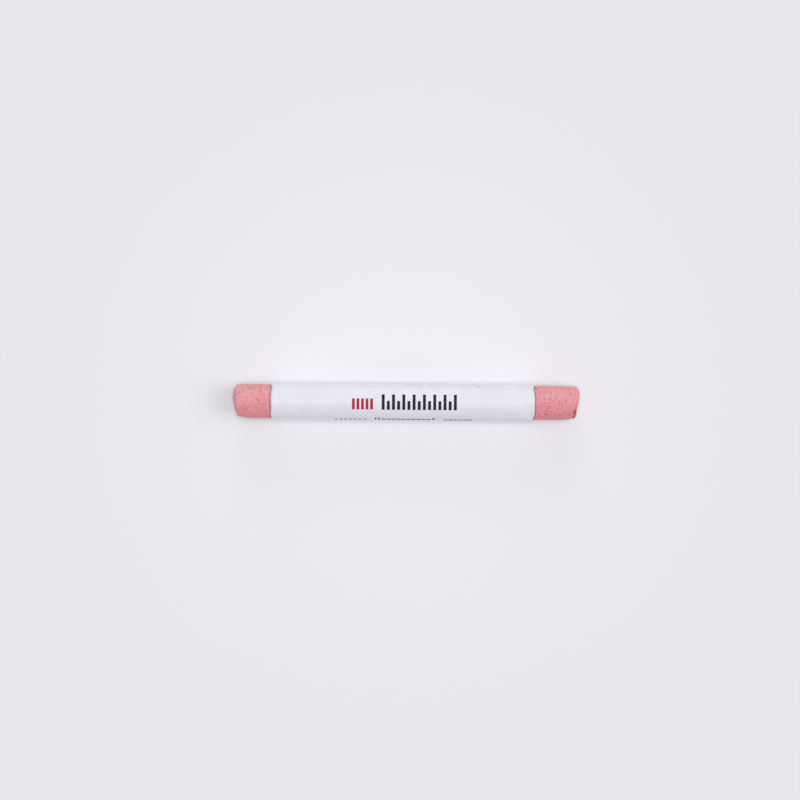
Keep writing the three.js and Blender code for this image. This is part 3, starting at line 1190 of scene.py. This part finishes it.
# %% [markdown]
# The tree works on a flat sheet, as the printer does. A function then bends each row round the
# paper by the paper's own place function, so that the ink follows its curve and its dents. It
# could be projected from above, but then the bars at the front would come out stretched.

# %% Print the marks on the roll
INK_FILM = 0.008 * MM
INK_LIFT = 0.008 * MM


def print_row(name, ink, middle, height, count, pitch, width, long_bar, short_bar, long_every):
    """A row of bars, centred on a place along the sleeve and a height round it from the top."""
    row = grow(name, bpy.data.meshes.new(name), bar_tree, bar_ids, {
        "Start": ((middle - pitch * (count - 1) / 2) * MM, height * MM, 0),
        "Count": count,
        "Pitch": pitch * MM,
        "Bar Width": width * MM,
        "Long Bar": long_bar * MM,
        "Short Bar": short_bar * MM,
        "Long Every": long_every,
        "Film": INK_FILM,
        "Ink": ink,
    })
    flat = np.array([vertex.co for vertex in row.data.vertices])
    above = PAPER + INK_LIFT + flat[:, 2]
    angle = 90 + np.degrees(flat[:, 1] / (stick_radius + LEFT_PLAY + PAPER)) - 360
    bent = paper_place(flat[:, 0], angle, above)
    row.data.vertices.foreach_set("co", bent.ravel())
    row.data.update()
    print(name, triangles(row), "triangles")
    return row


# Name, ink, middle, height, count, pitch, width, long bar, short bar and how often it is long.
# Sizes are in millimetres. A height is measured round the paper from its top, towards the back.
MARKS = [
    ("red_hatching", red_ink, -12.5, -0.6, 5, 1.3, 0.8, 3.2, 3.2, 1),
    ("black_scale", black_ink, 3.75, 0.0, 15, 1.475, 0.85, 4.5, 2.6, 2),
    ("front_dots", grey_ink, -16.0, -6.5, 7, 1.39, 0.85, 0.9, 0.9, 1),
    ("front_pair", black_ink, -8.25, -6.0, 2, 0.95, 0.45, 1.3, 1.3, 1),
    ("front_dashes", grey_ink, 0.0, -6.3, 10, 1.44, 1.15, 0.9, 0.9, 1),
    ("front_mark", black_ink, 7.9, -6.0, 1, 1.0, 0.5, 1.3, 1.3, 1),
    ("front_end_dashes", grey_ink, 14.9, -6.5, 6, 1.4, 1.15, 0.9, 0.9, 1),
    ("register_bar", orange_ink, 2.0, 6.4, 1, 1.0, 4.9, 0.4, 0.4, 1),
    ("register_dashes", pale_ink, 13.5, 6.4, 7, 2.2, 1.5, 0.3, 0.3, 1),
    ("register_dot", black_ink, 21.1, 5.7, 1, 1.0, 0.5, 0.3, 0.3, 1),
]
prints = [print_row(name, ink, *sizes) for name, ink, *sizes in MARKS]

# %% [markdown]
# ## Which piece moves with which body
#
# The stick and its grains ride on the stick. The paper, its ink and its glue ride on the
# sleeve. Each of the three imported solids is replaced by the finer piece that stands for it.

# %% Join the pieces to the frame
for piece, body, node, slot in (
    (chalk_stick, "stick", "chalk_stick", "chalk"),
    (paper_sleeve, "sleeve", "paper_sleeve", "paper"),
    (lap_glue, "sleeve", "seam_glue", "glue"),
):
    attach(piece, body)
    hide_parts(node)
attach(chalk_grains, "stick")
for row in prints:
    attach(row, "sleeve")
print(len(prints) + 4, "pieces ride on two bodies")

# %% [markdown]
# ## The floor
#
# The crayon lies on plain pale board and is seen from straight above. The board is one big square,
# far larger than the view, so that its edge never shows from any side. Its colour is a little
# greyer further out, as on a table lit from near its middle. Just behind the crayon it is painted
# greyer, a painted shade against the glow that the light thrown by the white paper would give it,
# and round both bare ends it is painted cooler, against the pink that light bounced off the chalk
# would give it.

# %% Lay the studio board
FLOOR_HALF = 2.0
FLOOR_GAP = 0.01 * MM
TOOTH_MM = 0.8
# Distances from the crayon's middle between which the board turns greyer
OUTER_GREY = (20 * MM, 110 * MM)
# Behind the crayon: an oval five times as long as it is wide, 10 mm behind the stick's axis.
# A reach says where the other colour ends, and where it is full
BEHIND_SHAPE = (0.2, 1, 1)
BEHIND_SHIFT = (0, -10 * MM, 0)
BEHIND_REACH = (7 * MM, 0.5 * MM)
# Round each bare end: a round patch whose middle is 5 mm in from the tip
END_MIDDLE = (stick_half - 5 * MM, 0, 0)
END_REACH = (14 * MM, 6 * MM)


def studio_board():
    # Matt studio board: even and pale, with a faint lavender cast
    material, tree, place = new_material("matt studio board")
    distance = add_node(tree, "ShaderNodeVectorMath", place, operation="LENGTH")
    outer = soft_step(tree, distance, *OUTER_GREY)
    body = mix(tree, outer, "edecf1", "e8e7ec")
    behind = add_node(tree, "ShaderNodeVectorMath", place, BEHIND_SHAPE, BEHIND_SHIFT,
                      operation="MULTIPLY_ADD")
    behind = add_node(tree, "ShaderNodeVectorMath", behind, operation="LENGTH")
    behind = soft_step(tree, behind, *BEHIND_REACH)
    # Painted shade behind the crayon, against the glow of light thrown by the white paper
    body = mix(tree, behind, body, "e9e8ec")
    round_end = add_node(tree, "ShaderNodeVectorMath", place, operation="ABSOLUTE")
    round_end = add_node(tree, "ShaderNodeVectorMath", round_end, END_MIDDLE,
                         operation="DISTANCE")
    round_end = soft_step(tree, round_end, *END_REACH)
    # Painted cooler round both ends, against the pink of light bounced off the chalk
    body = mix(tree, round_end, body, "e9ecf1")
    tooth = add_node(tree, "ShaderNodeTexNoise", place, Scale=per_mm(TOOTH_MM))
    end_material(tree, body, roughness=0.9, ior=1.45, height=tooth, depth_mm=0.01)
    return material


floor_mesh = bpy.data.meshes.new("floor")
square = ((-1, -1), (1, -1), (1, 1), (-1, 1))
corners = [(x * FLOOR_HALF, y * FLOOR_HALF, -FLOOR_GAP) for x, y in square]
floor_mesh.from_pydata(corners, [], [(0, 1, 2, 3)])
floor_mesh.materials.append(studio_board())
add_object("floor", floor_mesh)
print(f"a board {2 * FLOOR_HALF:.0f} m wide")

# %% [markdown]
# ## Lamps and even light
#
# The largest share of the light comes from a broad lamp overhead. A second lamp at the right
# gives the left end its longer shadow, a weak one lights the back edge of the paper, and even
# light from all round keeps the shadows pale. A sun with a wide angle is used as a lamp because
# it is equally soft and equally strong everywhere, whatever the size of the object.

# %% The lamps
# A white board lit at pi watts per square metre looks exactly as bright as it is written, so
# the shares of the lamps and of the even light add up to 1
LAMPS = {
    "high_lamp": {"share": 0.430, "lean": 0, "turn": 0, "width": 30},
    "right_lamp": {"share": 0.190, "lean": 45, "turn": 0, "width": 40},
    "back_lamp": {"share": 0.044, "lean": 77, "turn": 95, "width": 30},
}
EVEN_SHARE = 0.336


def soft_lamp(name, share, lean, turn, width):
    """A broad lamp that leans this far from upright, turned from the right to the back.

    The lean, the turn and the width of the lamp in the sky are in degrees.
    """
    data = bpy.data.lights.new(name, "SUN")
    data.energy = share * math.pi / math.cos(math.radians(lean))
    data.angle = math.radians(width)
    lamp = bpy.data.objects.new(name, data)
    lamp.rotation_euler = (0, math.radians(lean), math.radians(turn))
    bpy.context.scene.collection.objects.link(lamp)
    print(name, f"{data.energy:.2f} W/m2")


for name, sizes in LAMPS.items():
    soft_lamp(name, **sizes)


# %% The even light
def even_light():
    """Light from all round, behind which the camera sees a pale backdrop."""
    world = bpy.data.worlds.new("even_light")
    world.use_nodes = True
    sky = world.node_tree
    sky.nodes.clear()
    ray = add_node(sky, "ShaderNodeLightPath").node.outputs
    seen = ray["Is Camera Ray"]
    for other in ("Is Glossy Ray", "Is Transmission Ray"):
        seen = calculate(sky, "MAXIMUM", seen, ray[other])
    lighting = add_node(sky, "ShaderNodeBackground", linear("ffffff"), EVEN_SHARE)
    backdrop = add_node(sky, "ShaderNodeBackground", linear("efeef3"))
    mixed = add_node(sky, "ShaderNodeMixShader", seen, lighting, backdrop)
    add_node(sky, "ShaderNodeOutputWorld", mixed)
    return world


bpy.context.scene.world = even_light()
print(f"even light {EVEN_SHARE:.3f}")

# %% [markdown]
# ## The camera
#
# The crayon was photographed from straight above, so that both worn ends show at their real
# shape. The lens is chosen from the width of the view at the height of the stick's axis.

# %% The camera
# It looks straight down from half a metre, a little to the left of the stick's middle. Its roll
# is in degrees
CAMERA_HEIGHT = 500 * MM
CAMERA_PLACE = (-1.77 * MM, 0.57 * MM)
CAMERA_ROLL = 0.37
VIEW_WIDTH = 231.2 * MM

camera_data = bpy.data.cameras.new("camera")
camera_data.lens = camera_data.sensor_width * CAMERA_HEIGHT / VIEW_WIDTH
camera_data.clip_start = 10 * MM
camera = bpy.data.objects.new("camera", camera_data)
camera.location = (*CAMERA_PLACE, stick_axis_height + CAMERA_HEIGHT)
camera.rotation_euler = (0, 0, math.radians(CAMERA_ROLL))
bpy.context.scene.collection.objects.link(camera)
bpy.context.scene.camera = camera
bpy.context.scene.view_settings.view_transform = "Standard"
print(f"lens {camera_data.lens:.1f} mm")
